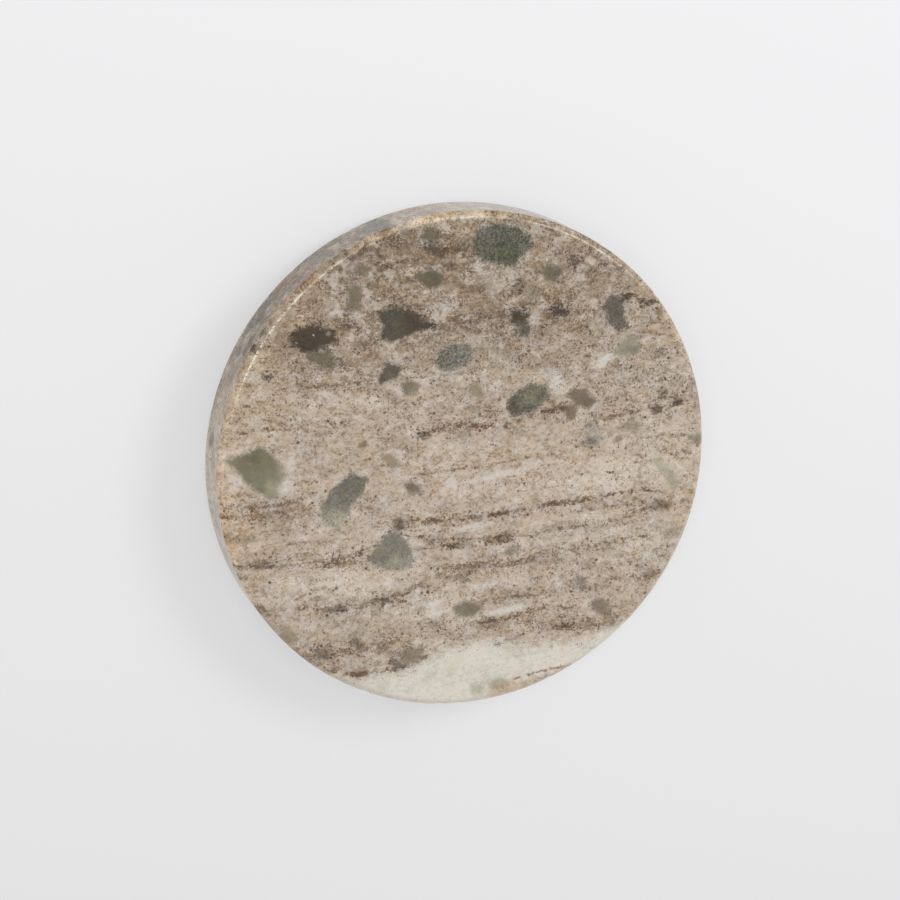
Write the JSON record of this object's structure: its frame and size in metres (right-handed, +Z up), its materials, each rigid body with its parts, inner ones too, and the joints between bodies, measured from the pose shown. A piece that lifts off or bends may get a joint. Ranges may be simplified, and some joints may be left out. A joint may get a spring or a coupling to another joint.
{
  "type": "drink coaster",
  "caption": "Round natural-stone drink coaster: a thick bevelled disc with a honed face and polished rim, standing on small clear bumper feet.",
  "frame": {"origin": "middle of the footprint, on the plane that the feet stand on", "axes": "+Z up through the centre of the stone, out of the face that the glass stands on; +X passes through the centre of the first foot"},
  "size_m": [0.1, 0.1, 0.014],
  "materials": {
    "stone": "satin",
    "adhesive": "matte",
    "foot": "satin"
  },
  "bodies": {
    "root": {"stone_disc": "stone", "adhesive_disc_1": "adhesive", "adhesive_disc_2": "adhesive", "adhesive_disc_3": "adhesive", "adhesive_disc_4": "adhesive", "bumper_foot_1": "foot", "bumper_foot_2": "foot", "bumper_foot_3": "foot", "bumper_foot_4": "foot"}
  },
  "joints": []
}
